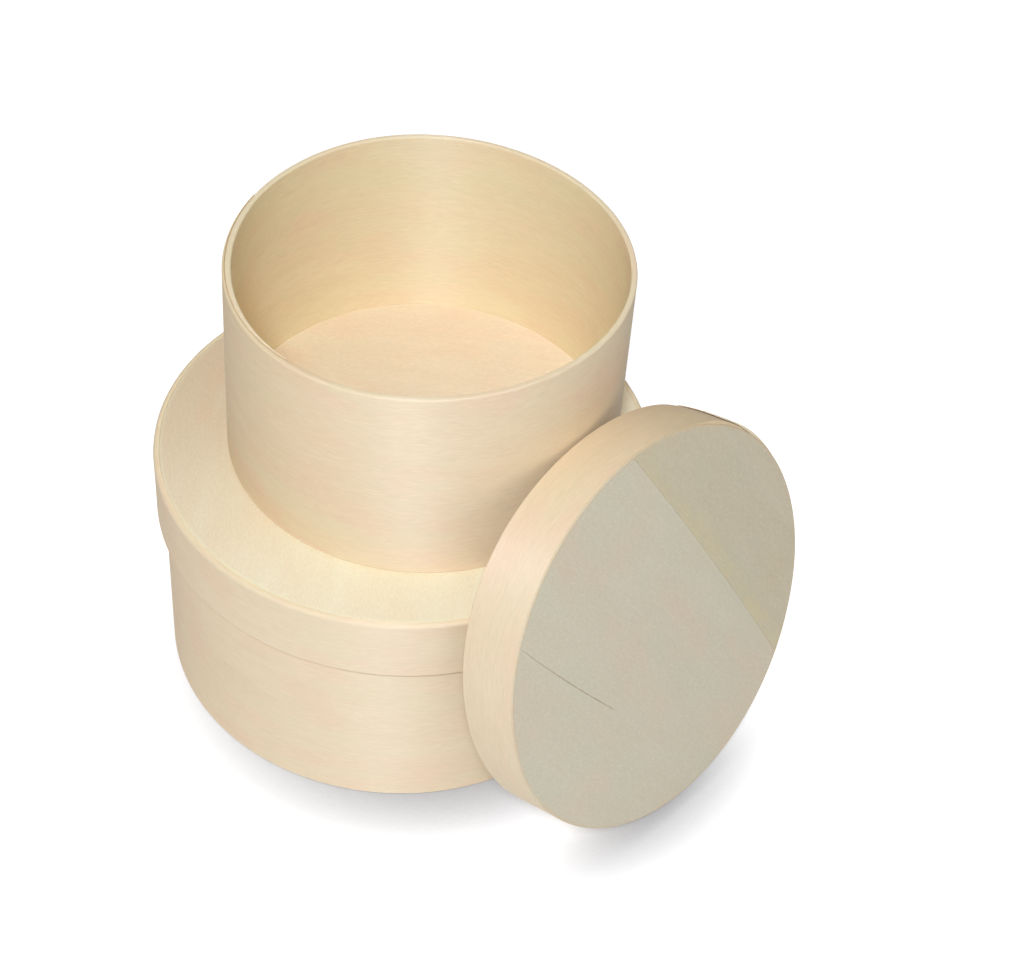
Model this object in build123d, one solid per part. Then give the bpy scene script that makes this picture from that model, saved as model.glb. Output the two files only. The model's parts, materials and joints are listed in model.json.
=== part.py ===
"""Set of two round bentwood boxes with lids, in the pose of a shop display.

The large box is closed. The small box stands open on its lid, and the small lid leans against the small
box with its open side to the stack.

Every box and lid is a band of thin wood bent to a hoop, with a flat disc glued into one end. The band's two
ends overlap in a lap: one end is scarfed down and glued on the other, so that the wall swells a little along
the lap and ends in a small blunt step. On a box the lap swells inwards, which leaves the outside true for
the lid to slide over. On a lid it swells outwards, and the inside is true.

The small lid is faced with two leaves of thin veneer, which cover its disc and its band's end and are sanded
flush all round.

Frame: the floor is Z = 0, the large box stands on the Z axis, and +X points at the leaning lid.
Millimetres and degrees.
"""
from build123d import *
from math import cos, hypot, radians, sin, sqrt, tan
import os

# The wood
band_thickness = 2.2
disc_thickness = 2.5
leaf_thickness = 0.6
glue_gap = 0.05

# The large box and its lid
large_box_diameter = 178.4
large_box_height = 94.5
large_lid_depth = 26.5

# The small box and its lid
small_box_diameter = 144.0
small_box_height = 82.0
small_lid_depth = 24.8

# A lid slides over its box with this much room all round
lid_clearance = 0.6

# Sanded edges: the radius of the circle that an edge's flats touch. An edge has one flat at 45 degrees, and
# where its radius is over the one given last, the two ridges of that flat are sanded off as well
rim_round = 0.6
foot_round = 0.9
large_lid_top_round = 1.8
face_round = 0.8
largest_round_with_ridges = 1.2

# The laps: the angle from the middle of a lap to each end, how far the wall swells there, the share of that
# angle at which the end is cut off blunt, the share of the band that the upper layer keeps, and how far that
# layer stays back from the band's edges
lap_half_angle = 42.0
box_lap_swell = 1.0
lid_lap_swell = 0.7
lap_cut_share = 0.84
lap_layer_share = 0.9
lap_edge_setback = 0.15

# Where the middle of each lap lies, round the hoop
large_box_lap_at = 150.0
large_lid_lap_at = 128.0
small_box_lap_at = 239.0
small_lid_lap_at = 17.5

# Where the small box stands on the large lid
small_box_shift_x = 1.1
small_box_shift_y = 8.2

# How the small lid leans: its tilt from upright, its shift to the side, and the gap to the small box
small_lid_lean = 16.5
small_lid_shift_y = 12.5
lean_gap = 0.3

# How far a cut runs past the piece that it cuts
cut_overrun = 1.0

# The seam between the two leaves of face veneer on the small lid: the angles at which it starts and ends on
# the lid's edge, and how far it bows away from the straight line
seam_start_angle = 91.7
seam_end_angle = 320.3
seam_bow = 1.3

# Worked out from the sizes above
large_box_radius = large_box_diameter / 2
small_box_radius = small_box_diameter / 2
large_lid_inner_radius = large_box_radius + lid_clearance
small_lid_inner_radius = small_box_radius + lid_clearance
closed_height = large_box_height + disc_thickness

# How far from its sharp corner a flat starts, and a ridge's flat from the ridge, as shares of the radius
flat_share = 2 - sqrt(2)
ridge_flat_share = 1 - tan(radians(90 / 8)) - flat_share


def polar(radius, angle):
    """Point at a radius and an angle round the Z axis."""
    return (radius * cos(radians(angle)), radius * sin(radians(angle)))


def sanded(profile, corner, radius):
    """A cross-section with a corner taken off in flats that touch a circle of the given radius."""
    place = corner.center()
    profile = chamfer(corner, flat_share * radius)
    if radius > largest_round_with_ridges:
        ridges = [vertex for vertex in profile.vertices() if (vertex.center() - place).length < radius]
        profile = chamfer(ridges, ridge_flat_share * radius)
    return profile


def band_profile(inner_radius, thickness, low, high, rounds):
    """Upright cross-section of a band from low to high, with its corners sanded.

    rounds gives the radii of the lower inner, lower outer, upper inner and upper outer corner.
    """
    profile = Pos(inner_radius, low) * Rectangle(thickness, high - low, align=(Align.MIN, Align.MIN))
    for row, column, radius in zip((0, 0, -1, -1), (0, -1, 0, -1), rounds):
        if radius > 0:
            corner = profile.vertices().group_by(Axis.Y)[row].sort_by(Axis.X)[column]
            profile = sanded(profile, corner, radius)
    return profile


def turned(profile, start, sweep):
    """The solid that an upright profile makes when it turns about Z from start through sweep degrees."""
    return Rot(Z=start) * revolve(Plane.XZ * profile, Axis.Z, sweep)


def lap_arc(radius, swell):
    """Centre offset and radius of the arc along a lap.

    The arc meets the circle of the given radius at lap_half_angle each side and stands swell outside it
    halfway, or inside it where swell is negative.
    """
    sagitta = radius * (1 - cos(radians(lap_half_angle)))
    offset = swell * (2 * radius + swell) / (2 * (sagitta + swell))
    return offset, radius + swell - offset


def lap_layer(inner_radius, low, high, rounds, swell, at):
    """The scarfed end of the band that lies on the other one, inside the hoop or outside it."""
    layer = band_thickness * lap_layer_share
    if swell < 0:
        offset, face_radius = lap_arc(inner_radius, swell)
        layer_inner_radius = face_radius
    else:
        offset, face_radius = lap_arc(inner_radius + band_thickness, swell)
        layer_inner_radius = face_radius - layer
    profile = band_profile(layer_inner_radius, layer, low, high, rounds)
    cut_end = lap_half_angle * lap_cut_share
    return Rot(Z=at) * Pos(offset, 0) * turned(profile, -lap_half_angle, lap_half_angle + cut_end)


def bent_hoop(inner_radius, height, rounds, swell, at):
    """A hoop: the band turned full circle, with the lap of its two ends."""
    ring = turned(band_profile(inner_radius, band_thickness, 0, height, rounds), 0, 360)
    return ring + lap_layer(inner_radius, lap_edge_setback, height - lap_edge_setback, rounds, swell, at)


def box_hoop(radius, height, lap_at):
    """The band of a box, standing on Z = 0."""
    rounds = (0, foot_round, rim_round, rim_round)
    return bent_hoop(radius - band_thickness, height, rounds, -box_lap_swell, lap_at)


def box_bottom(radius, lap_at):
    """The disc in the lower end of a box, cut to the shape of the band's inside."""
    inner_radius = radius - band_thickness
    disc = Cylinder(inner_radius - glue_gap, disc_thickness, align=(Align.CENTER, Align.CENTER, Align.MIN))
    square = (0, 0, 0, 0)
    high = disc_thickness + cut_overrun
    return disc - lap_layer(inner_radius - glue_gap, -cut_overrun, high, square, -box_lap_swell, lap_at)


def lid_hoop(inner_radius, height, lap_at, top_round):
    """The band of a lid, open side down, standing on Z = 0."""
    rounds = (rim_round, rim_round, 0, top_round)
    return bent_hoop(inner_radius, height, rounds, lid_lap_swell, lap_at)


def lid_disc(inner_radius, depth, thickness):
    """The disc of a lid, or its core, with its underside one disc thickness below the lid's face."""
    disc = Cylinder(inner_radius - glue_gap, thickness, align=(Align.CENTER, Align.CENTER, Align.MIN))
    return Pos(0, 0, depth - disc_thickness) * disc


def face_leaves(radius, depth):
    """The two leaves of face veneer on the small lid, which meet along a slightly bowed seam.

    They reach out to the given radius, and their outer edges are sanded.
    """
    start = polar(radius, seam_start_angle)
    end = polar(radius, seam_end_angle)
    run_x = end[0] - start[0]
    run_y = end[1] - start[1]
    run = hypot(run_x, run_y)
    middle = ((start[0] + end[0]) / 2 - seam_bow * run_y / run, (start[1] + end[1]) / 2 + seam_bow * run_x / run)
    seam = ThreePointArc(start, middle, end)
    wide_sweep = seam_end_angle - seam_start_angle
    wide_edge = CenterArc((0, 0), radius, seam_start_angle, wide_sweep)
    narrow_edge = CenterArc((0, 0), radius, seam_end_angle, 360 - wide_sweep)
    leaves = []
    for edge in (wide_edge, narrow_edge):
        leaf = extrude(make_face(Curve() + [edge, seam]), leaf_thickness)
        upper_edges = leaf.edges().filter_by(GeomType.CIRCLE).group_by(Axis.Z)[-1]
        outer_edge = upper_edges.sort_by(SortBy.RADIUS)[0]
        leaves.append(Pos(0, 0, depth - leaf_thickness) * chamfer(outer_edge, flat_share * face_round))
    return leaves


def leaning_place():
    """The frame of the small lid: its origin in the middle of the open side, its Z out through its face.

    The lowest point of the rim is on the floor and its highest point lean_gap from the small box.
    """
    tilt = radians(small_lid_lean)
    outer_radius = small_lid_inner_radius + band_thickness
    rim_flat = flat_share * rim_round
    centre_z = outer_radius * cos(tilt) - rim_flat * sin(tilt)
    wall_x = small_box_shift_x + small_box_radius + lean_gap
    centre_x = wall_x + (outer_radius - rim_flat) * sin(tilt)
    outwards = (cos(tilt), 0, sin(tilt))
    return Plane(origin=(centre_x, small_lid_shift_y, centre_z), x_dir=(0, 1, 0), z_dir=outwards)


def build():
    """Every sub-part in place, by node name."""
    large_lid_place = Pos(0, 0, closed_height - large_lid_depth)
    small_box_place = Pos(small_box_shift_x, small_box_shift_y, closed_height)
    small_lid_place = leaning_place().location
    wide_leaf, narrow_leaf = face_leaves(small_lid_inner_radius + band_thickness, small_lid_depth)
    core_thickness = disc_thickness - leaf_thickness
    small_lid_height = small_lid_depth - leaf_thickness
    large_lid_hoop = lid_hoop(large_lid_inner_radius, large_lid_depth, large_lid_lap_at, large_lid_top_round)
    small_lid_hoop = lid_hoop(small_lid_inner_radius, small_lid_height, small_lid_lap_at, 0)
    return {
        "large_box_hoop": box_hoop(large_box_radius, large_box_height, large_box_lap_at),
        "large_box_bottom": box_bottom(large_box_radius, large_box_lap_at),
        "large_lid_hoop": large_lid_place * large_lid_hoop,
        "large_lid_top": large_lid_place * lid_disc(large_lid_inner_radius, large_lid_depth, disc_thickness),
        "small_box_hoop": small_box_place * box_hoop(small_box_radius, small_box_height, small_box_lap_at),
        "small_box_bottom": small_box_place * box_bottom(small_box_radius, small_box_lap_at),
        "small_lid_hoop": small_lid_place * small_lid_hoop,
        "small_lid_top": small_lid_place * lid_disc(small_lid_inner_radius, small_lid_depth, core_thickness),
        "small_lid_leaf_wide": small_lid_place * wide_leaf,
        "small_lid_leaf_narrow": small_lid_place * narrow_leaf,
    }


os.makedirs("parts", exist_ok=True)
for node, solid in build().items():
    solid.label = node
    export_step(solid, "parts/" + node + ".step")
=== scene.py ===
"""Looks of a set of two round bentwood boxes with lids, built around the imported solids.

Every hoop is rebuilt here as what it is on the real object: one long band of thin wood, bent round until its
two ends overlap in a glued lap. The discs and the two leaves of face veneer get sanded edges. Each piece
carries its own wood coordinates (metres along the grain, across it and into the wood), so that the grain runs
along the bent bands and straight across the discs, and stays on its piece when a lid is lifted off.

Row frame, metres. Lengths that are written in millimetres are multiplied by MM. Angles are in degrees.
"""
import json
import math
import random

import bpy
from mathutils import Matrix, Vector


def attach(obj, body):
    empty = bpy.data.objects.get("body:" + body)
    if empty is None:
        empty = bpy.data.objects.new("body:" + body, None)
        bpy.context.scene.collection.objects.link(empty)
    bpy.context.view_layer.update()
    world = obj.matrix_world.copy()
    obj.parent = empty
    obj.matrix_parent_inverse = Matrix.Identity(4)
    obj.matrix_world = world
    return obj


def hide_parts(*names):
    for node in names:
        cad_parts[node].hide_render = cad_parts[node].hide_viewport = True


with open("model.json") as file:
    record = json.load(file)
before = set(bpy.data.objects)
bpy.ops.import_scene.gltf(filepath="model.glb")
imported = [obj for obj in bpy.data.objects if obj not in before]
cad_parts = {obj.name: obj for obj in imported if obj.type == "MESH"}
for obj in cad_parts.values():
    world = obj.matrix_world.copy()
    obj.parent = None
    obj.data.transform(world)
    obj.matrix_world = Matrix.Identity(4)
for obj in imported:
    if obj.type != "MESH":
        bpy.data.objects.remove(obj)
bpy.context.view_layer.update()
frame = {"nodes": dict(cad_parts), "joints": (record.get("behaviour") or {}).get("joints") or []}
MM = 0.001

# Laps, as the solids have them: where each lies round its hoop, how far it reaches each way from its middle,
# how far the wall swells there, and the share of the way at which the upper end is cut off blunt
LAP_AT = {"large_box": 150.0, "large_lid": 128.0, "small_box": 239.0, "small_lid": 17.5}
LAP_HALF_ANGLE = 42.0
BOX_LAP_SWELL = 1.0 * MM
LID_LAP_SWELL = 0.7 * MM
LAP_CUT_SHARE = 0.84
LAP_CUT_ANGLE = LAP_HALF_ANGLE * LAP_CUT_SHARE

# The joints between glued pieces, how far a lap's tongue has sprung from the wall at its blunt end and over
# which angle, and how thin the band's under end gets
GLUE_GAP = 0.05 * MM
SPRUNG_GAP = 0.16 * MM
SPRUNG_ANGLE = 16.0
FEATHER = 0.12 * MM

# Sanded edges: their radii, the steps round each, how much of a thin layer's thickness two of them may take,
# and how far in from an edge its wear reaches
RIM_ROUND = 0.7 * MM
FOOT_ROUND = 0.8 * MM
LID_TOP_ROUND = 1.4 * MM
DISC_ROUND = 0.12 * MM
CUT_ROUND = 0.05 * MM
FACE_ROUND = 0.5 * MM
LEAF_UNDER_ROUND = 0.01 * MM
CORNER_STEPS = 5
ROUNDS_SHARE = 0.92
WORN_REACH = 1.6 * MM

# Bent by hand: how far a wall and a rim leave the true circle and the true height, always inwards, in how
# many ripples, and over which share of the height the wall's ripples grow
WALL_WAVE = 0.10 * MM
WALL_RIPPLES = (5, 7, 9, 12)
WALL_WAVE_SHARE = 0.4
RIM_WAVE = 0.16 * MM
RIM_RIPPLES = (2, 3, 5, 8)

# Hoops have sprung out of round: the lobes of each, as their number, their height and where one stands. The
# small box's grow towards its rim by a power, and the large lid's wall is set back a little as a whole
BOX_RIM_LOBES = ((2, 0.75 * MM, 107.0), (3, 0.72 * MM, 32.0))
RIM_SPRING = 1.5
LARGE_LID_LOBES = ((2, 0.22 * MM, 220.0), (3, 0.17 * MM, 217.0))
LARGE_LID_SET_BACK = 0.14 * MM
SMALL_LID_FACE_LOBES = (
    (0, 0.20 * MM, 0.0),
    (1, 0.35 * MM, 117.0),
    (2, 0.63 * MM, 41.0),
    (3, 0.35 * MM, 56.0),
)
SMALL_LID_RIM_LOBES = ((2, 1.00 * MM, 44.0), (3, 0.58 * MM, 42.0), (4, 0.58 * MM, 47.0))

# The small lid's wall stands out round the blunt end of its lap, most of all at its disc: by how much, and
# over which angle before and after that end
LAP_BULGE = {"small_lid": 1.6 * MM}
BULGE_BEFORE = 30.0
BULGE_AFTER = 18.0

# A band gets darker towards its under end, as painted shade where its wall turns away from the light: over
# which angle, and by how many times this is stronger on one of them
END_SHADE_ANGLE = 150.0
END_SHADE_STRENGTH = {"small_lid": 2.2}

# The angle between two cross-sections of a band, and between two points of a disc's outline
STATION_STEP = 2.0
DISC_STEP = 2.0


def smooth(share):
    """Smooth step from 0 to 1 as share goes from 0 to 1."""
    share = min(max(share, 0.0), 1.0)
    return share * share * (3 - 2 * share)


def wave(seed, counts):
    """A gentle random wave round a hoop, from 0 to 1, made of the given numbers of ripples."""
    source = random.Random(seed)
    ripples = [(count, source.uniform(0, 2 * math.pi), source.uniform(0.5, 1.0)) for count in counts]
    total = sum(size for _, _, size in ripples)

    def value(angle):
        height = sum(size * math.sin(count * math.radians(angle) + phase) for count, phase, size in ripples)
        return 0.5 + 0.5 * height / total

    return value


# How far each hoop leaves the circle, from the angle and the share of the way from its disc to its free rim


def lobes(angle, sizes):
    """Height at an angle of the lobes that are given by their number, their height and where one stands."""
    return sum(height * math.cos(math.radians(number * (angle - at))) for number, height, at in sizes)


def large_box_shape(angle, free):
    """Under its lid, the large box is held in its true circle."""
    return 0.0


def small_box_shape(angle, free):
    """Out of round at its open rim alone."""
    return lobes(angle, BOX_RIM_LOBES) * free ** RIM_SPRING


def large_lid_shape(angle, free):
    """Out of round all over, and twice as much at its free rim."""
    return (lobes(angle, LARGE_LID_LOBES) - LARGE_LID_SET_BACK) * (1 + free) / 2


def small_lid_shape(angle, free):
    """Out of round in one way at its face and in another at its free rim."""
    return lobes(angle, SMALL_LID_FACE_LOBES) * (1 - free) + lobes(angle, SMALL_LID_RIM_LOBES) * free


# Where each box and lid stands, and its sizes, read from the solids


def leaning_place():
    """The small lid's own frame: Z out through its face along its joint's axis, X along the row's Y."""
    axis = next(joint["axis"] for joint in frame["joints"] if joint["name"] == "small_lid_pull")
    outwards = Vector(axis).normalized()
    sideways = Vector((0, 1, 0))
    upwards = outwards.cross(sideways)
    return Matrix((sideways, upwards, outwards)).transposed().to_4x4()


def own_corners(node, place):
    """Lowest and highest corner of a node's solid in the frame of a place."""
    inverse = place.inverted()
    points = [inverse @ vertex.co for vertex in frame["nodes"][node].data.vertices]
    lowest = Vector([min(point[axis] for point in points) for axis in range(3)])
    highest = Vector([max(point[axis] for point in points) for axis in range(3)])
    return lowest, highest


class Vessel:
    """A box or a lid: its place, with the origin in the middle of its lower or open end, and its sizes.

    round_node is its node that is truly round, from which its axis is found.
    """

    def __init__(self, name, disc, round_node, turn=None):
        turn = turn or Matrix.Identity(4)
        lowest, highest = own_corners(round_node, turn)
        hoop_lowest, hoop_highest = own_corners(name + "_hoop", turn)
        middle = (lowest + highest) / 2
        middle.z = hoop_lowest.z
        self.name = name
        self.disc = disc
        self.is_box = disc.endswith("_bottom")
        self.place = turn @ Matrix.Translation(middle)
        self.height = hoop_highest.z - hoop_lowest.z
        disc_lowest, disc_highest = own_corners(disc, self.place)
        self.disc_low = disc_lowest.z
        self.disc_high = disc_highest.z
        self.disc_radius = max(-disc_lowest.x, -disc_lowest.y, disc_highest.x, disc_highest.y)
        self.inner_radius = self.disc_radius + GLUE_GAP
        self.lap_at = LAP_AT[name]


large_box = Vessel("large_box", "large_box_bottom", "large_box_hoop")
small_box = Vessel("small_box", "small_box_bottom", "small_box_hoop")
large_lid = Vessel("large_lid", "large_lid_top", "large_lid_top")
small_lid = Vessel("small_lid", "small_lid_top", "small_lid_top", leaning_place())
BAND = own_corners("large_box_hoop", large_box.place)[1].x - large_box.inner_radius


# Meshes


def keep_values(mesh, name, values):
    """Keep a value for each vertex of a mesh, under a name that its material reads."""
    mesh.attributes.new(name, "FLOAT", "POINT").data.foreach_set("value", values)


def make_object(name, vertices, faces, grain, edge, place, sharp=40.0):
    """A smooth-shaded mesh object that carries its wood coordinates and its distance from the sanded edges.

    Its vertices are given in the frame of a place and kept in the row frame. Vertices that no face uses are
    left out. Where two faces meet at more than the sharp angle, the edge is shaded sharp.
    """
    used = sorted({vertex for face in faces for vertex in face})
    number = {old: new for new, old in enumerate(used)}
    faces = [tuple(number[vertex] for vertex in face) for face in faces]
    vertices, grain, edge = ([values[old] for old in used] for values in (vertices, grain, edge))
    mesh = bpy.data.meshes.new(name)
    mesh.from_pydata([place @ Vector(vertex) for vertex in vertices], [], faces)
    mesh.update()
    coordinates = [coordinate for point in grain for coordinate in point]
    mesh.attributes.new("grain", "FLOAT_VECTOR", "POINT").data.foreach_set("vector", coordinates)
    keep_values(mesh, "edge", edge)
    fibres = mesh.uv_layers.new(name="fibres")
    for corner, loop in zip(fibres.data, mesh.loops):
        along, across, into = grain[loop.vertex_index]
        corner.uv = (along, across + into)
    mesh.polygons.foreach_set("use_smooth", [True] * len(mesh.polygons))
    mesh.set_sharp_from_angle(angle=math.radians(sharp))
    piece = bpy.data.objects.new(name, mesh)
    bpy.context.scene.collection.objects.link(piece)
    return piece


def spread(start, end, shares):
    """Points between two ends of a straight side, at the given shares of the way."""
    return [tuple(a + (b - a) * share for a, b in zip(start, end)) for share in shares]


# Where the points of a tall and of a short side of a cross-section lie, as shares of the way along it
TALL_SHARES = (0.004, 0.02, 0.07, 0.16, 0.28, 0.42, 0.58, 0.72, 0.84, 0.93, 0.98, 0.996)
SHORT_SHARES = (0.1, 0.5, 0.9)


def cross_section(inner, outer, low, high, rounds):
    """Points (radius, height) round a band's cross-section, with its corners sanded round.

    rounds gives the radii of the lower inner, lower outer, upper outer and upper inner corner.
    """
    lower_inner, lower_outer, upper_outer, upper_inner = rounds
    lower_share = min(ROUNDS_SHARE * (outer - inner) / max(lower_inner + lower_outer, FEATHER), 1)
    upper_share = min(ROUNDS_SHARE * (outer - inner) / max(upper_inner + upper_outer, FEATHER), 1)
    lower_inner, lower_outer = lower_inner * lower_share, lower_outer * lower_share
    upper_inner, upper_outer = upper_inner * upper_share, upper_outer * upper_share
    corners = (
        (inner + lower_inner, low + lower_inner, lower_inner, 180),
        (outer - lower_outer, low + lower_outer, lower_outer, 270),
        (outer - upper_outer, high - upper_outer, upper_outer, 0),
        (inner + upper_inner, high - upper_inner, upper_inner, 90),
    )
    points = []
    for number, (centre_r, centre_z, radius, start) in enumerate(corners):
        if points:
            first = corner_point(centre_r, centre_z, radius, start)
            shares = TALL_SHARES if number in (0, 2) else SHORT_SHARES
            points += spread(points[-1], first, shares)
        steps = CORNER_STEPS if radius > 0 else 0
        for step in range(steps + 1):
            points.append(corner_point(centre_r, centre_z, radius, start + 90 * step / CORNER_STEPS))
    points += spread(points[-1], points[0], TALL_SHARES)
    return points


def corner_point(centre_r, centre_z, radius, angle):
    """Point (radius, height) at an angle on a rounded corner."""
    turn = math.radians(angle)
    return (centre_r + radius * math.cos(turn), centre_z + radius * math.sin(turn))


def lap_face(radius, swell, away):
    """Radius of the swelled face of a lap, at an angle from the lap's middle."""
    sagitta = radius * (1 - math.cos(math.radians(LAP_HALF_ANGLE)))
    offset = swell * (2 * radius + swell) / (2 * (sagitta + swell))
    face_radius = radius + swell - offset
    turn = math.radians(away)
    return offset * math.cos(turn) + math.sqrt(face_radius ** 2 - (offset * math.sin(turn)) ** 2)


def layer_faces(vessel, travelled):
    """Inner and outer radius of the band at an angle travelled from its blunt end.

    The band starts at the blunt end of its upper layer, runs once round, and ends in a feather edge under it.
    """
    inner, outer = vessel.inner_radius, vessel.inner_radius + BAND
    away = LAP_CUT_ANGLE - travelled
    if away < -LAP_HALF_ANGLE:
        away += 360
        if away > LAP_HALF_ANGLE:
            return inner, outer
        upper = False
    else:
        upper = True
    lower_thickness = max(BAND * (away + LAP_HALF_ANGLE) / (2 * LAP_HALF_ANGLE), FEATHER)
    sprung = smooth(1 - (LAP_CUT_ANGLE - away) / SPRUNG_ANGLE)
    gap = GLUE_GAP + (SPRUNG_GAP - GLUE_GAP) * sprung
    if vessel.is_box:
        swelled = lap_face(inner, -BOX_LAP_SWELL, away)
        glue = outer - lower_thickness
        return (swelled, max(glue - gap, swelled + FEATHER)) if upper else (glue, outer)
    swelled = lap_face(outer, LID_LAP_SWELL, away)
    glue = inner + lower_thickness
    return (min(glue + gap, swelled - FEATHER), swelled) if upper else (inner, glue)


def lap_bulge(vessel, angle):
    """How far a band's outer face stands out round the blunt end of its lap."""
    past = (angle - vessel.lap_at - LAP_CUT_ANGLE + 180) % 360 - 180
    reach = BULGE_AFTER if past > 0 else BULGE_BEFORE
    return LAP_BULGE.get(vessel.name, 0) * smooth(1 - abs(past) / reach)


def band_piece(vessel, rounds, seed, shape):
    """The band of a box or lid as one bent strip.

    rounds gives the radii of its lower inner, lower outer, upper outer and upper inner corner, and shape a
    further shift of the wall, from the angle and the share of the way from the disc to the free rim. For its
    material, the band keeps how far each point is to the hoop's inner side, which is lightened as painted
    light, and how far into its under end, which is darkened as painted shade.
    """
    # How strong the painted shade at the band's under end is
    end_shade_strength = END_SHADE_STRENGTH.get(vessel.name, 1.0)
    sweep = 360 + LAP_HALF_ANGLE + LAP_CUT_ANGLE
    stations = math.ceil(sweep / STATION_STEP)
    wall = wave(seed, WALL_RIPPLES)
    free_rim = wave(seed + 1, RIM_RIPPLES)
    vertices, faces, grain, edge, inside, end_shade = [], [], [], [], [], []
    for station in range(stations + 1):
        travelled = sweep * station / stations
        angle = vessel.lap_at + LAP_CUT_ANGLE - travelled
        inner, outer = layer_faces(vessel, travelled)
        rim_drop = RIM_WAVE * free_rim(angle)
        bulge = lap_bulge(vessel, angle)
        low, high = (0, vessel.height - rim_drop) if vessel.is_box else (rim_drop, vessel.height)
        turn = math.radians(angle)
        along = math.radians(travelled) * (vessel.inner_radius + BAND / 2)
        section = cross_section(inner, outer, low, high, rounds)
        for radius, height in section:
            share = height / vessel.height
            free = share if vessel.is_box else 1 - share
            shift = shape(angle, free) - WALL_WAVE * wall(angle) * smooth(free / WALL_WAVE_SHARE)
            shift += bulge * (1 - free ** 3) * min((radius - vessel.inner_radius) / BAND, 1)
            reach = radius + shift
            vertices.append((reach * math.cos(turn), reach * math.sin(turn), height))
            grain.append((along, height, radius))
            edge.append(min(height - low, high - height))
            # Painted light: the colour is lightened towards the hoop's inner side
            inside.append(smooth((outer - radius) / (outer - inner)))
            # Painted shade: the colour is darkened towards the band's under end
            end_shade.append(min(end_shade_strength * smooth(1 - (sweep - travelled) / END_SHADE_ANGLE), 1))
    count = len(section)
    for station in range(stations):
        for point in range(count):
            here = station * count + point
            beside = station * count + (point + 1) % count
            faces.append((here, here + count, beside + count, beside))
    faces.append(tuple(range(count)))
    faces.append(tuple(range(stations * count + count - 1, stations * count - 1, -1)))
    band = make_object(vessel.name + "_band", vertices, faces, grain, edge, vessel.place)
    keep_values(band.data, "inside", inside)
    keep_values(band.data, "end_shade", end_shade)
    return band


# Points of a flat piece's outline: on its sanded edge, on a cut such as a seam, or where the two meet
EDGE, CUT, CORNER = "edge", "cut", "corner"


def flat_piece(name, outline, low, high, rounds, turn, place):
    """A flat piece with sanded edges, from the points (x, y, kind) of its outline, anticlockwise.

    rounds gives the radii of its lower and upper edge, and turn is the direction of its grain. A narrow ring
    inside the edge lets the wear of the edge fade out. Inside the ring, each side is one face.
    """
    lower_round, upper_round = rounds
    count = len(outline)
    normals = outline_normals(outline)
    steps = [math.radians(90 * step / CORNER_STEPS) for step in range(CORNER_STEPS + 1)]
    cos_turn, sin_turn = math.cos(math.radians(turn)), math.sin(math.radians(turn))
    vertices, faces, grain, edge = [], [], [], []

    def add_loop(z, depth, edge_inset):
        """One loop round the piece at a height z, with its cuts and its edge set back."""
        for (x, y, kind), (normal_x, normal_y) in zip(outline, normals):
            inset = depth if kind == CUT else edge_inset
            in_x, in_y = x - normal_x * inset, y - normal_y * inset
            vertices.append((in_x, in_y, z))
            grain.append((in_x * cos_turn + in_y * sin_turn, in_y * cos_turn - in_x * sin_turn, z))
            edge.append(edge_inset if kind != CUT else WORN_REACH)

    add_loop(low, lower_round, WORN_REACH)
    for step in steps:
        cut_back = 1 - math.sin(step)
        add_loop(low + lower_round * (1 - math.cos(step)), lower_round * cut_back, lower_round * cut_back)
    for step in reversed(steps):
        cut_back = 1 - math.sin(step)
        add_loop(high - upper_round * (1 - math.cos(step)), CUT_ROUND * cut_back, upper_round * cut_back)
    add_loop(high, CUT_ROUND, WORN_REACH)
    last = 2 * len(steps) + 1
    for loop in range(1, last - 1):
        for point in range(count):
            beside = (point + 1) % count
            faces.append((loop * count + point, loop * count + beside,
                          (loop + 1) * count + beside, (loop + 1) * count + point))
    round_faces = len(faces)
    for ring, rim, upwards in ((0, 1, False), (last, last - 1, True)):
        side_faces = flat_side(outline, ring * count, rim * count)
        faces += side_faces if upwards else [tuple(reversed(face)) for face in side_faces]
    piece = make_object(name, vertices, faces, grain, edge, place, sharp=60.0)
    for polygon in piece.data.polygons[round_faces:]:
        polygon.use_smooth = False
    return piece


def flat_side(outline, ring, rim):
    """Faces of one flat side: a strip between its rim and its ring, and one face inside the ring."""
    count = len(outline)
    inner = []
    strip = []
    for point, (_, _, kind) in enumerate(outline):
        beside = (point + 1) % count
        beside_kind = outline[beside][2]
        if kind != CORNER:
            inner.append((ring if kind == EDGE else rim) + point)
        if kind == EDGE and beside_kind == EDGE:
            strip.append((rim + point, rim + beside, ring + beside, ring + point))
        elif kind == EDGE and beside_kind == CORNER:
            strip.append((rim + point, rim + beside, rim + (point + 2) % count, ring + point))
        elif kind == CORNER and beside_kind == EDGE:
            strip.append((rim + point, rim + beside, ring + beside, rim + point - 1))
    return strip + [tuple(inner)]


def outline_normals(outline):
    """Outward unit vectors at the points of an anticlockwise outline, and straight out at its corners."""
    count = len(outline)
    normals = []
    for number, (x, y, kind) in enumerate(outline):
        if kind == CORNER:
            normals.append(Vector((x, y)).normalized())
            continue
        before, after = outline[number - 1], outline[(number + 1) % count]
        run_x, run_y = after[0] - before[0], after[1] - before[1]
        length = math.hypot(run_x, run_y) or 1
        normals.append((run_y / length, -run_x / length))
    return normals


def round_outline(vessel, shape):
    """Outline of the disc of a box or lid, which follows the inside of its band."""
    points = []
    for step in range(round(360 / DISC_STEP)):
        angle = step * DISC_STEP
        radius = vessel.disc_radius
        away = (angle - vessel.lap_at + 180) % 360 - 180
        if vessel.is_box and -LAP_HALF_ANGLE < away < LAP_CUT_ANGLE:
            radius = lap_face(vessel.inner_radius, -BOX_LAP_SWELL, away) - GLUE_GAP
        radius += shape(angle, 0)
        turn = math.radians(angle)
        points.append((radius * math.cos(turn), radius * math.sin(turn), EDGE))
    return points


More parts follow.
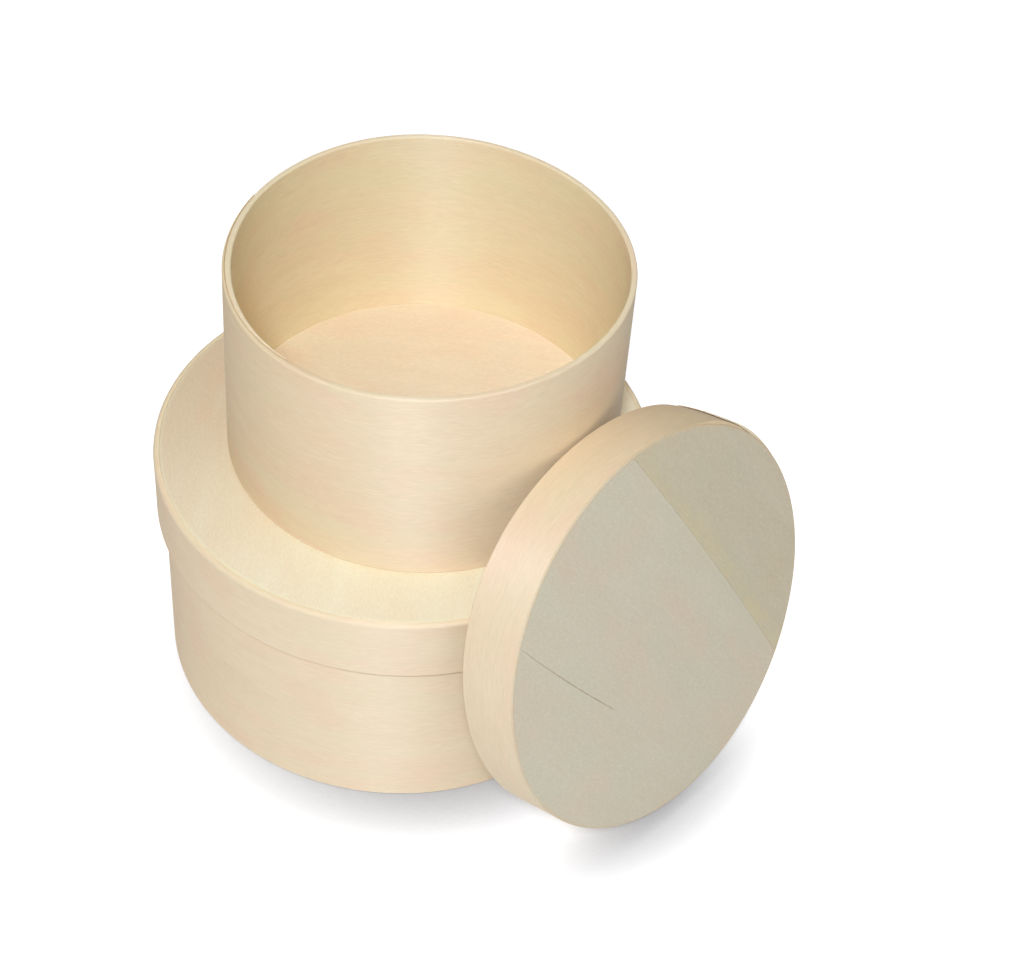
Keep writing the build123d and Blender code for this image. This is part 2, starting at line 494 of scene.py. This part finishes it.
# The seam between the two leaves of face veneer on the small lid: the angles of its ends, its bow, and the
# gap between the leaves
SEAM_START = 91.7
SEAM_END = 320.3
SEAM_BOW = 1.3 * MM
SEAM_STEPS = 48
SEAM_GAP = 0.01 * MM

# A hairline crack in the wide leaf: where it starts on the edge, its length, direction and bow, how much
# wider than the seam it gets, and the share of its length at which it is widest
CRACK_AT = 151.4
CRACK_LENGTH = 64.5 * MM
CRACK_TURN = -54.5
CRACK_BOW = -0.7 * MM
CRACK_WIDTH = 0.012 * MM
CRACK_WIDEST_SHARE = 0.85
CRACK_STEPS = 28


def face_edge(angle):
    """Point on the small lid's edge, where the leaves are sanded flush with the band and its lap."""
    radius = small_lid.inner_radius + BAND
    away = (angle - small_lid.lap_at + 180) % 360 - 180
    if abs(away) < LAP_HALF_ANGLE:
        radius = lap_face(radius, LID_LAP_SWELL, away)
    turn = math.radians(angle)
    return Vector((math.cos(turn), math.sin(turn))) * (radius + small_lid_shape(angle, 0))


def edge_points(start, end):
    """Points of the small lid's edge from one angle to another, without the two ends."""
    steps = round((end - start) / DISC_STEP)
    return [(*face_edge(start + (end - start) * step / steps), EDGE) for step in range(1, steps)]


def bowed_line(start, end, bow, steps):
    """Points of a slightly bowed line, and the direction that it bows in."""
    run = end - start
    sideways = Vector((-run.y, run.x)).normalized()
    shares = [step / steps for step in range(steps + 1)]
    return [start + run * share + sideways * bow * 4 * share * (1 - share) for share in shares], sideways


def seam_line():
    """Start, end and bow of the seam."""
    return face_edge(SEAM_START), face_edge(SEAM_END), SEAM_BOW


def crack_line():
    """Start, end and bow of the crack."""
    start = face_edge(CRACK_AT)
    turn = math.radians(CRACK_TURN)
    return start, start + Vector((math.cos(turn), math.sin(turn))) * CRACK_LENGTH, CRACK_BOW


def crack_cut():
    """Outline of the hairline crack, from the edge along one side to its tip and back along the other."""
    line, sideways = bowed_line(*crack_line(), CRACK_STEPS)
    there, back = [], []
    for step, point in enumerate(line[:-1]):
        share = step / CRACK_STEPS
        opening = min(share / CRACK_WIDEST_SHARE, (1 - share) / (1 - CRACK_WIDEST_SHARE))
        half = sideways * (SEAM_GAP + CRACK_WIDTH * smooth(opening)) / 2
        kind = CORNER if step == 0 else CUT
        there.append((*(point + half), kind))
        back.append((*(point - half), kind))
    return there + [(*line[-1], CUT)] + back[::-1]


def leaf_outlines():
    """Outlines of the wide and the narrow leaf, anticlockwise."""
    seam, sideways = bowed_line(*seam_line(), SEAM_STEPS)
    apart = sideways * SEAM_GAP / 2
    kinds = [CORNER] + [CUT] * (SEAM_STEPS - 1) + [CORNER]
    wide_seam = [(*(point - apart), kind) for point, kind in zip(reversed(seam), kinds)]
    narrow_seam = [(*(point + apart), kind) for point, kind in zip(seam, kinds)]
    wide = edge_points(SEAM_START, CRACK_AT) + crack_cut() + edge_points(CRACK_AT, SEAM_END) + wide_seam
    narrow = edge_points(SEAM_END, SEAM_START + 360) + narrow_seam
    return wide, narrow


# Materials


def srgb(red, green, blue):
    """A colour given as it looks on a screen, 0 to 255, as linear light."""
    shares = [value / 255 for value in (red, green, blue)]
    return tuple(s / 12.92 if s <= 0.04045 else ((s + 0.055) / 1.055) ** 2.4 for s in shares) + (1.0,)


class Shader:
    """The nodes of a material or of the world, and short ways to add to them."""

    def __init__(self, owner):
        owner.use_nodes = True
        self.owner = owner
        self.nodes = owner.node_tree.nodes
        self.links = owner.node_tree.links
        self.surface = self.nodes.get("Principled BSDF")

    def put(self, socket, value):
        if isinstance(value, bpy.types.NodeSocket):
            self.links.new(value, socket)
        else:
            socket.default_value = value

    def attribute(self, name, output):
        node = self.nodes.new("ShaderNodeAttribute")
        node.attribute_name = name
        return node.outputs[output]

    def math(self, operation, first, second=0.0, clamp=False):
        node = self.nodes.new("ShaderNodeMath")
        node.operation = operation
        node.use_clamp = clamp
        self.put(node.inputs[0], first)
        self.put(node.inputs[1], second)
        return node.outputs[0]

    def vector(self, operation, first, second, output="Vector"):
        node = self.nodes.new("ShaderNodeVectorMath")
        node.operation = operation
        self.put(node.inputs[0], first)
        self.put(node.inputs[1], second)
        return node.outputs[output]

    def noise(self, vector, scales, detail=2.0, roughness=0.5, distortion=0.0):
        node = self.nodes.new("ShaderNodeTexNoise")
        node.inputs["Scale"].default_value = 1.0
        node.inputs["Detail"].default_value = detail
        node.inputs["Roughness"].default_value = roughness
        node.inputs["Distortion"].default_value = distortion
        self.put(node.inputs["Vector"], self.vector("MULTIPLY", vector, scales))
        return node.outputs["Fac"]

    def between(self, value, low, high, to_low=0.0, to_high=1.0):
        node = self.nodes.new("ShaderNodeMapRange")
        node.interpolation_type = "SMOOTHSTEP"
        for socket, setting in zip(node.inputs, (value, low, high, to_low, to_high)):
            self.put(socket, setting)
        return node.outputs[0]

    def grey(self, value):
        node = self.nodes.new("ShaderNodeCombineColor")
        for socket in node.inputs:
            self.put(socket, value)
        return node.outputs[0]

    def mix(self, share, first, second, blend="MIX"):
        node = self.nodes.new("ShaderNodeMix")
        node.data_type = "RGBA"
        node.blend_type = blend
        self.put(node.inputs["Factor"], share)
        self.put(node.inputs["A"], first)
        self.put(node.inputs["B"], second)
        return node.outputs["Result"]

    def tinted(self, colour, factors):
        """A colour with each of its channels multiplied by a factor."""
        return self.mix(1.0, colour, (*factors, 1.0), "MULTIPLY")


# The sheen of sanded fibres, which spreads across them. The fibres change its roughness up and down
SHEEN_LEVEL = 1.0
SHEEN_STRETCH = 0.9
SHEEN_TURN = 0.25
SHEEN_ROUGHNESS = 0.62
SHEEN_CHANGE = 0.06

# The relief of the fibres: its height, its strength, and the share that the streaks have in it
BUMP_HEIGHT = 0.08 * MM
BUMP_STRENGTH = 0.35
BUMP_STREAKS = 0.8

# Scales of the wood's patterns, in features per metre along the grain and across it
FIBRES = (220, 2600, 2600)
FACE_FIBRES = (520, 1500, 1500)
STREAKS = (45, 420, 420)
FIGURE = (14, 60, 60)
BLOTCHES = (30, 45, 45)
PATCHES = (24, 62, 62)
STAIN_PATCHES = (170, 170, 170)

# How each pattern shows: the two values of its noise between which it changes, and its share or tone at each
FIGURE_SHARES = (0.30, 0.72, 0.1, 0.45)
STREAK_SHARES = (0.42, 0.72, 0.0, 0.30)
BLOTCH_SHARES = (0.44, 0.66, 0.0, 0.7)
PATCH_SHARES = (0.46, 0.66, 0.0, 0.7)
# Flecks: partly the wood's own and partly painted glints of the fibres
FLECK_AND_GLINT_SHARES = (0.60, 0.74, 0.0, 0.3)
FIBRE_TONES = (0.3, 0.7, 0.972, 1.028)
FIBRE_RANGE = (0.25, 0.75)
RUBBED_SHARES = (0.3, 0.65, 0.35, 1.0)
STAIN_SHARES = (0.38, 0.58, 0.4, 1.0)

# How much lighter flecks (partly painted glints of the fibres) and worn edges are than the pale wood
LIGHTER = 1.12

# What the colour is multiplied by as painted shade at a band's under end, and where a board's painted shade
# starts and where it is darkest, measured from its middle
END_SHADE_TINT = (0.89, 0.84, 0.75)
PAINTED_SHADE_START = -63 * MM
PAINTED_SHADE_END = 99 * MM


def lighter(colour):
    return tuple(min(channel * LIGHTER, 1.0) for channel in colour[:3]) + (1.0,)


def towards_painted_shade(shader, place, turn):
    """How far a point of a board is on the way to the darkest end of its painted shade, which lies at an
    angle from its grain.
    """
    turn = math.radians(turn)
    across_board = shader.vector("DOT_PRODUCT", place, (math.cos(turn), math.sin(turn), 0), "Value")
    return shader.between(across_board, PAINTED_SHADE_START, PAINTED_SHADE_END)


def wood(name, colours, seed, fibre_scale, mottle=1.0, rim=None, worn=0.3, inside=(1, 1, 1), painted_shade=None):
    """Bare sanded veneer: fibres, streaks, a faint figure, blotches, flecks and worn edges.

    colours gives its pale, deep, warm and cool wood, and rim the colour of its worn edges. inside is what its
    colour is multiplied by on the inner side of a hoop, as painted light. The last argument gives the
    direction in which a board is darkened as painted shade, and more mottled, as an angle from its grain,
    and what its colour is multiplied by where that painted shade is darkest. Its lighter flecks are partly
    the wood's own and partly painted glints of the fibres.
    Returns the shader and the socket of its colour.
    """
    pale, deep, warm, cool = colours
    shader = Shader(bpy.data.materials.new(name))
    source = random.Random(seed)
    shifts = [tuple(source.uniform(-3, 3) for _ in range(3)) for _ in range(2)]
    place = shader.attribute("grain", "Vector")
    grain, other_grain = (shader.vector("ADD", place, shift) for shift in shifts)
    fibres = shader.noise(grain, fibre_scale, detail=2, roughness=0.6)
    streaks = shader.noise(grain, STREAKS, detail=2, roughness=0.55, distortion=0.3)
    figure = shader.noise(grain, FIGURE, detail=2, distortion=0.9)
    blotches = shader.noise(grain, BLOTCHES, detail=2, roughness=0.45)
    patches = shader.noise(other_grain, PATCHES, detail=3, roughness=0.55)
    flecks_and_glints = shader.noise(other_grain, fibre_scale, detail=0)
    colour = shader.mix(shader.between(figure, *FIGURE_SHARES), pale, deep)
    colour = shader.mix(shader.between(streaks, *STREAK_SHARES), colour, deep)
    # Painted shade: the board is darkened towards one end, and more mottled there
    if painted_shade:
        direction, shade_tint = painted_shade
        painted_shade_share = towards_painted_shade(shader, place, direction)
        mottle = shader.math("ADD", shader.math("MULTIPLY", painted_shade_share, mottle), mottle / 2)
    for noise, shares, spot in ((blotches, BLOTCH_SHARES, warm), (patches, PATCH_SHARES, cool)):
        share = shader.math("MULTIPLY", shader.between(noise, *shares), mottle, clamp=True)
        colour = shader.mix(share, colour, spot)
    tone = shader.between(fibres, *FIBRE_TONES)
    colour = shader.mix(1.0, colour, shader.grey(tone), "MULTIPLY")
    # Lighter flecks, partly the wood's own and partly painted glints of the fibres
    colour = shader.mix(shader.between(flecks_and_glints, *FLECK_AND_GLINT_SHARES), colour, lighter(pale))
    # Painted shade, darkest at the board's far end
    if painted_shade:
        colour = shader.mix(painted_shade_share, colour, shader.tinted(colour, shade_tint))
    # Painted light on a hoop's inner side, and painted shade towards a band's under end
    for attribute, tint in (("inside", inside), ("end_shade", END_SHADE_TINT)):
        colour = shader.mix(shader.attribute(attribute, "Fac"), colour, shader.tinted(colour, tint))
    near_edge = shader.between(shader.attribute("edge", "Fac"), 0.0, WORN_REACH, 1.0, 0.0)
    rubbed = shader.math("MULTIPLY", near_edge, shader.between(streaks, *RUBBED_SHARES))
    colour = shader.mix(shader.math("MULTIPLY", rubbed, worn), colour, rim or lighter(pale))
    shader.put(shader.surface.inputs["Base Color"], colour)
    sand(shader, fibres, streaks)
    return shader, colour


def sand(shader, fibres, streaks):
    """Give wood the sheen and the relief of its sanded fibres."""
    surface = shader.surface.inputs
    rough, smoother = SHEEN_ROUGHNESS + SHEEN_CHANGE, SHEEN_ROUGHNESS - SHEEN_CHANGE
    shader.put(surface["Roughness"], shader.between(fibres, *FIBRE_RANGE, rough, smoother))
    surface["Specular IOR Level"].default_value = SHEEN_LEVEL
    surface["Anisotropic"].default_value = SHEEN_STRETCH
    surface["Anisotropic Rotation"].default_value = SHEEN_TURN
    along = shader.nodes.new("ShaderNodeTangent")
    along.direction_type = "UV_MAP"
    along.uv_map = "fibres"
    shader.put(surface["Tangent"], along.outputs["Tangent"])
    bump = shader.nodes.new("ShaderNodeBump")
    bump.inputs["Strength"].default_value = BUMP_STRENGTH
    bump.inputs["Distance"].default_value = BUMP_HEIGHT
    height = shader.math("ADD", fibres, shader.math("MULTIPLY", streaks, BUMP_STREAKS))
    shader.put(bump.inputs["Height"], height)
    shader.put(surface["Normal"], bump.outputs["Normal"])


def line_place(shader, start, end, bow, turn):
    """How far a point of a flat piece lies left of a bowed line, and its share of the way along the line.

    turn is the direction of the piece's grain.
    """
    to_grain = Matrix.Rotation(-math.radians(turn), 2)
    origin = to_grain @ start
    run = to_grain @ (end - start)
    left = Vector((-run.y, run.x)).normalized()
    offset = shader.vector("SUBTRACT", shader.attribute("grain", "Vector"), (*origin, 0))
    share = shader.vector("DOT_PRODUCT", offset, (*(run / run.length ** 2), 0), "Value")
    across = shader.vector("DOT_PRODUCT", offset, (*left, 0), "Value")
    rest = shader.math("SUBTRACT", 1.0, share)
    bulge = shader.math("MULTIPLY", shader.math("MULTIPLY", share, rest), 4 * bow)
    return shader.math("SUBTRACT", across, bulge), share


def stained(shader, colour, line, turn, stain):
    """A flat piece's colour with a patchy stain along a line, given by its start, its end and its bow.

    stain gives its colour, how far it reaches from the line, and its share of the whole stain at the start.
    turn is the direction of the piece's grain.
    """
    stain_colour, reach, first = stain
    across, share = line_place(shader, *line, turn)
    near = shader.between(shader.math("ABSOLUTE", across), 0.0, reach, STAIN_STRENGTH, 0.0)
    from_middle = shader.math("ABSOLUTE", shader.math("SUBTRACT", share, 0.5))
    on_line = shader.between(from_middle, STAIN_FADE_START, STAIN_FADE_END, 1.0, 0.0)
    growing = shader.between(share, 0.0, 0.5, first, 1.0)
    noise = shader.noise(shader.attribute("grain", "Vector"), STAIN_PATCHES)
    patchy = shader.between(noise, *STAIN_SHARES)
    strength = near
    for factor in (on_line, growing, patchy):
        strength = shader.math("MULTIPLY", strength, factor)
    return shader.mix(strength, colour, stain_colour)


# Pieces


def dress(piece, body, node, shader):
    """Give a piece its material and its body, and let it stand for its node."""
    piece.data.materials.append(shader.owner)
    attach(piece, body)
    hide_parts(node)


# Pale, deep, warm and cool wood of each kind of piece
BAND_COLOURS = (srgb(241, 221, 187), srgb(232, 206, 168), srgb(240, 211, 178), srgb(236, 219, 182))
DISC_COLOURS = (srgb(238, 219, 185), srgb(230, 205, 167), srgb(236, 208, 172), srgb(232, 215, 181))
# The large lid's top: its own wood, made paler than the other discs as painted sheen
LARGE_TOP_WOOD_AND_SHEEN_COLOURS = (srgb(248, 240, 209), srgb(243, 227, 191), srgb(247, 230, 196), srgb(245, 235, 202))
WIDE_COLOURS = (srgb(218, 208, 181), srgb(211, 200, 171), srgb(222, 201, 173), srgb(213, 206, 178))
NARROW_COLOURS = (srgb(213, 200, 171), srgb(202, 188, 156), srgb(208, 193, 158), srgb(203, 194, 164))

# How strongly edges are worn, how mottled the leaves are, the colour of their worn edge, what the colour of a
# hoop's inner side is multiplied by as painted light, and in which direction and how much the large lid's
# top is darkened as painted shade
BAND_WORN = 0.15
LEAF_WORN = 0.7
LEAF_MOTTLE = 0.9
LEAF_RIM = srgb(222, 192, 150)
BAND_INSIDE_PAINTED_LIGHT = (1.04, 1.09, 1.04)
LARGE_TOP_PAINTED_SHADE = (33.0, (0.78, 0.66, 0.60))

# Stains along the crack and the seam: their colour, their reach and their share at the line's start, how
# strong they are at most, and how far from the middle of the line they fade out, as shares of its length
CRACK_STAIN = (srgb(188, 150, 100), 0.45 * MM, 0.2)
SEAM_STAIN = (srgb(218, 202, 152), 11.0 * MM, 0.6)
STAIN_STRENGTH = 0.5
STAIN_FADE_START = 0.46
STAIN_FADE_END = 0.51

BOX_ROUNDS = (0, FOOT_ROUND, RIM_ROUND, RIM_ROUND)
LARGE_LID_ROUNDS = (RIM_ROUND, RIM_ROUND, LID_TOP_ROUND, 0)
SMALL_LID_ROUNDS = (RIM_ROUND, RIM_ROUND, 0, 0)


def make_vessel(vessel, rounds, shape, seeds, disc_turn, colours=DISC_COLOURS, painted_shade=None):
    """The band of a box or lid, and its disc.

    seeds gives the seeds of the two pieces' wood, and disc_turn the direction of the disc's grain.
    """
    band_seed, disc_seed = seeds
    band = band_piece(vessel, rounds, band_seed, shape)
    band_wood = vessel.name + "_band_wood"
    shader, _ = wood(band_wood, BAND_COLOURS, band_seed, FIBRES, worn=BAND_WORN, inside=BAND_INSIDE_PAINTED_LIGHT)
    dress(band, vessel.name, vessel.name + "_hoop", shader)
    outline = round_outline(vessel, shape)
    disc_rounds = (DISC_ROUND, DISC_ROUND)
    disc = flat_piece(vessel.disc + "_disc", outline, vessel.disc_low, vessel.disc_high, disc_rounds,
                      disc_turn, vessel.place)
    shader, _ = wood(vessel.disc + "_wood", colours, disc_seed, FACE_FIBRES, painted_shade=painted_shade)
    dress(disc, vessel.name, vessel.disc, shader)


def make_leaf(side, outline, colours, seed, turn, line, stain):
    """The wide or the narrow leaf of the small lid's face veneer, with a stain along a line."""
    node = "small_lid_leaf_" + side
    low, high = (corner.z for corner in own_corners(node, small_lid.place))
    rounds = (LEAF_UNDER_ROUND, FACE_ROUND)
    leaf = flat_piece(node + "_face", outline, low, high, rounds, turn, small_lid.place)
    shader, colour = wood(node + "_wood", colours, seed, FACE_FIBRES, LEAF_MOTTLE, LEAF_RIM, LEAF_WORN)
    shader.put(shader.surface.inputs["Base Color"], stained(shader, colour, line, turn, stain))
    dress(leaf, "small_lid", node, shader)


make_vessel(large_box, BOX_ROUNDS, large_box_shape, seeds=(11, 71), disc_turn=40)
# The large lid's top is paler as painted sheen and darkened towards one end as painted shade
make_vessel(large_lid, LARGE_LID_ROUNDS, large_lid_shape, seeds=(23, 83), disc_turn=130,
            colours=LARGE_TOP_WOOD_AND_SHEEN_COLOURS, painted_shade=LARGE_TOP_PAINTED_SHADE)
make_vessel(small_box, BOX_ROUNDS, small_box_shape, seeds=(37, 97), disc_turn=35)
make_vessel(small_lid, SMALL_LID_ROUNDS, small_lid_shape, seeds=(53, 101), disc_turn=30)

wide_outline, narrow_outline = leaf_outlines()
make_leaf("wide", wide_outline, WIDE_COLOURS, seed=113, turn=-58, line=crack_line(), stain=CRACK_STAIN)
make_leaf("narrow", narrow_outline, NARROW_COLOURS, seed=127, turn=-62, line=seam_line(), stain=SEAM_STAIN)


# Floor, light and camera

# The floor: half its side in metres, its colour, and its glow near the set and far from it, where no lamp
# reaches, with the distances between which the glow grows
FLOOR_HALF = 3.0
FLOOR_GREY = 0.85
FLOOR_ROUGHNESS = 0.9
FLOOR_GLOW = 0.86
FLOOR_FAR_GLOW = 1.3
FLOOR_NEAR = 0.45
FLOOR_FAR = 1.2

# The soft shadow on the floor: where its light comes from, its reach and its samples, the share of the
# floor's light that is left where the set closes it in, and how much more is left in the open
SHADOW_AZIMUTH = 160.0
SHADOW_ELEVATION = 30.0
SHADOW_REACH = 32 * MM
SHADOW_SAMPLES = 16
SHADOW_REST = 0.05
SHADOW_GAIN = 0.8

# The light that comes from all round: its strength and colour
WORLD_STRENGTH = 0.2
WORLD_COLOUR = (1.0, 0.93, 0.82)

# The lamps: the angles and the distance at which each stands from the point that they all shine at, its size,
# its power in watts, and its colour
LIGHT_AIM = Vector((0.03, 0.01, 0.08))
LAMPS = {
    "key": (-52, 50, 1.5, 0.2, 15.9, (0.94, 1.0, 1.12)),
    "side_fill": (-92, 42, 1.2, 0.55, 0.8, (1.0, 0.9, 0.78)),
    "back_fill": (135, 55, 1.2, 0.8, 1.0, (1.0, 0.96, 0.9)),
}


def aimed(azimuth, elevation):
    """Direction at an azimuth and an elevation."""
    turn, tilt = math.radians(azimuth), math.radians(elevation)
    return Vector((math.cos(tilt) * math.cos(turn), math.cos(tilt) * math.sin(turn), math.sin(tilt)))


def directly_seen(shader):
    """1 for what the camera sees, itself or in a gloss or through glass, and 0 for light on its way."""
    path = shader.nodes.new("ShaderNodeLightPath")
    seen = path.outputs["Is Camera Ray"]
    for ray in ("Is Glossy Ray", "Is Transmission Ray"):
        seen = shader.math("MAXIMUM", seen, path.outputs[ray])
    return seen


def soft_shadow(shader):
    """Share of the floor's light that is left, which is least close to the set, away from the light."""
    direction = shader.nodes.new("ShaderNodeCombineXYZ")
    for socket, value in zip(direction.inputs, aimed(SHADOW_AZIMUTH, SHADOW_ELEVATION)):
        socket.default_value = value
    touch = shader.nodes.new("ShaderNodeAmbientOcclusion")
    touch.samples = SHADOW_SAMPLES
    touch.inputs["Distance"].default_value = SHADOW_REACH
    shader.put(touch.inputs["Normal"], direction.outputs[0])
    return shader.math("ADD", shader.math("MULTIPLY", touch.outputs["AO"], SHADOW_GAIN), SHADOW_REST)


def floor_paper():
    """White paper, which looks white where light falls on it and keeps the soft shadows."""
    shader = Shader(bpy.data.materials.new("floor_paper"))
    seen = directly_seen(shader)
    shadow = shader.math("SUBTRACT", 1.0, soft_shadow(shader))
    open_share = shader.math("SUBTRACT", 1.0, shader.math("MULTIPLY", shadow, seen))
    grey = shader.grey(shader.math("MULTIPLY", open_share, FLOOR_GREY))
    shader.put(shader.surface.inputs["Base Color"], grey)
    shader.surface.inputs["Roughness"].default_value = FLOOR_ROUGHNESS
    shader.surface.inputs["Specular IOR Level"].default_value = 0.0
    place = shader.nodes.new("ShaderNodeNewGeometry").outputs["Position"]
    distance = shader.vector("LENGTH", place, (0, 0, 0), "Value")
    level = shader.between(distance, FLOOR_NEAR, FLOOR_FAR, FLOOR_GLOW, FLOOR_FAR_GLOW)
    glow = shader.nodes.new("ShaderNodeEmission")
    glow.inputs["Color"].default_value = (1, 1, 1, 1)
    level = shader.math("MULTIPLY", level, shader.math("MULTIPLY", seen, open_share))
    shader.put(glow.inputs["Strength"], level)
    both = shader.nodes.new("ShaderNodeAddShader")
    shader.put(both.inputs[0], shader.surface.outputs[0])
    shader.put(both.inputs[1], glow.outputs[0])
    shader.put(shader.nodes["Material Output"].inputs["Surface"], both.outputs[0])
    return shader.owner


def make_floor():
    """A plain pale floor."""
    corners = [(x * FLOOR_HALF, y * FLOOR_HALF, 0) for x, y in ((-1, -1), (1, -1), (1, 1), (-1, 1))]
    mesh = bpy.data.meshes.new("floor")
    mesh.from_pydata(corners, [], [(0, 1, 2, 3)])
    mesh.materials.append(floor_paper())
    floor = bpy.data.objects.new("floor", mesh)
    bpy.context.scene.collection.objects.link(floor)


def make_world():
    """A world that lights the set from all round, and is white where it is seen."""
    world = bpy.data.worlds.new("world")
    bpy.context.scene.world = world
    shader = Shader(world)
    shader.nodes.clear()
    mix = shader.nodes.new("ShaderNodeMixShader")
    shader.put(mix.inputs[0], directly_seen(shader))
    for number, (colour, strength) in enumerate(((WORLD_COLOUR, WORLD_STRENGTH), ((1, 1, 1), 1.0))):
        background = shader.nodes.new("ShaderNodeBackground")
        background.inputs["Color"].default_value = (*colour, 1)
        background.inputs["Strength"].default_value = strength
        shader.put(mix.inputs[number + 1], background.outputs[0])
    output = shader.nodes.new("ShaderNodeOutputWorld")
    shader.put(output.inputs["Surface"], mix.outputs[0])


def make_lamp(name, azimuth, elevation, distance, size, power, colour):
    """A square soft lamp that shines at the set."""
    direction = aimed(azimuth, elevation)
    light = bpy.data.lights.new(name, "AREA")
    light.shape = "SQUARE"
    light.size = size
    light.energy = power
    light.color = colour
    lamp = bpy.data.objects.new(name, light)
    lamp.location = LIGHT_AIM + direction * distance
    lamp.rotation_euler = direction.to_track_quat("Z", "Y").to_euler()
    bpy.context.scene.collection.objects.link(lamp)


make_floor()
make_world()
for lamp_name, settings in LAMPS.items():
    make_lamp(lamp_name, *settings)

# The camera, found from the circles of the photograph: the angles of its view, its roll, the point that it
# looks at and how far off, its lens and sensor in millimetres, and the nearest distance that it shows
CAMERA_AZIMUTH = 40.607
CAMERA_ELEVATION = 44.71
CAMERA_ROLL = 4.573
CAMERA_TARGET = Vector((37.73, 18.3, 91.69)) * MM
CAMERA_DISTANCE = 809.06 * MM
CAMERA_LENS = 77.37
CAMERA_SENSOR = 36.0
CAMERA_NEAREST = 10 * MM


def make_camera():
    """The camera at the photograph's angle of view."""
    turn, tilt, roll = (math.radians(angle) for angle in (CAMERA_AZIMUTH, CAMERA_ELEVATION, CAMERA_ROLL))
    right = Vector((math.cos(turn), math.sin(turn), 0))
    back = Vector((math.cos(tilt) * math.sin(turn), -math.cos(tilt) * math.cos(turn), math.sin(tilt)))
    up = back.cross(right)
    rolled_right = right * math.cos(roll) + up * math.sin(roll)
    rolled_up = up * math.cos(roll) - right * math.sin(roll)
    data = bpy.data.cameras.new("camera")
    data.lens = CAMERA_LENS
    data.sensor_width = CAMERA_SENSOR
    data.sensor_fit = "HORIZONTAL"
    data.clip_start = CAMERA_NEAREST
    camera = bpy.data.objects.new("camera", data)
    turned = Matrix((rolled_right, rolled_up, back)).transposed().to_4x4()
    camera.matrix_world = Matrix.Translation(CAMERA_TARGET + back * CAMERA_DISTANCE) @ turned
    bpy.context.scene.collection.objects.link(camera)
    bpy.context.scene.camera = camera


make_camera()
bpy.context.scene.view_settings.view_transform = "Standard"
